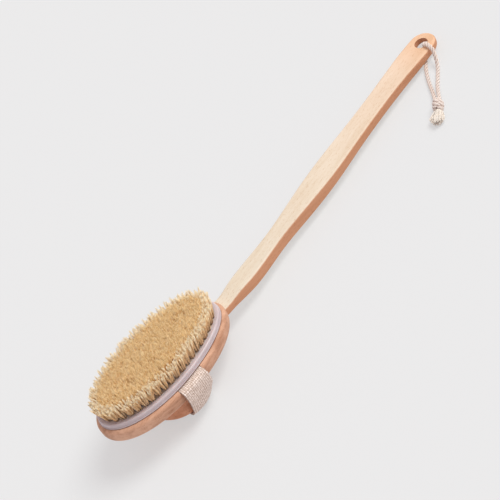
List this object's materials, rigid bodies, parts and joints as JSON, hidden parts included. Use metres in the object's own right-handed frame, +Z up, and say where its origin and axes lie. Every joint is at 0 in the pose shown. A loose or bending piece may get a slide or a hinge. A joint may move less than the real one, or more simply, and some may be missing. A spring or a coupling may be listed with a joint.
{
  "type": "body dry brush",
  "caption": "Long-handled body dry brush: egg-shaped wooden head with bristle tufts in an edge band, cotton palm strap, pull-out wooden handle and a hanging cord.",
  "frame": {"origin": "on the surface that the brush lies on, under the middle of its outline with the hanging cord left out", "axes": "+Z up, out of the bristles; +X from the head towards the handle's end; +Y away from the side that the hanging cord falls to"},
  "size_m": [0.4412, 0.1103, 0.07],
  "materials": {
    "board_wood": "light beech wood, fine sanded and oiled",
    "block_wood": "light beech wood, fine sanded and oiled",
    "handle_wood": "light beech wood, fine sanded",
    "band_plastic": "milky translucent plastic",
    "plate_plastic": "milky plastic",
    "bristle": "light boar bristle",
    "strap_cotton": "woven cotton webbing",
    "cord_cotton": "twisted cotton",
    "fastener_steel": "zinc-plated steel",
    "wire": "drawn wire"
  },
  "bodies": {
    "head": {"back_board": "board_wood", "palm_block": "block_wood", "block_screws": "fastener_steel", "edge_band": "band_plastic", "bristle_plate": "plate_plastic", "plate_brads": "fastener_steel", "tuft_anchors": "wire", "tufts_ring_1": "bristle", "tufts_ring_2": "bristle", "tufts_ring_3": "bristle", "tufts_rows": "bristle", "palm_strap": "strap_cotton", "strap_tacks": "fastener_steel"},
    "handle": {"handle": "handle_wood", "cord_front_strand": "cord_cotton", "cord_back_strand": "cord_cotton", "cord_knot": "cord_cotton", "cord_tassel": "cord_cotton"}
  },
  "joints": [
    {"name": "handle_slide", "type": "slide", "parent": "head", "child": "handle", "axis": [0.9881, 0, -0.1541], "range_m": [0, 0.05]}
  ]
}
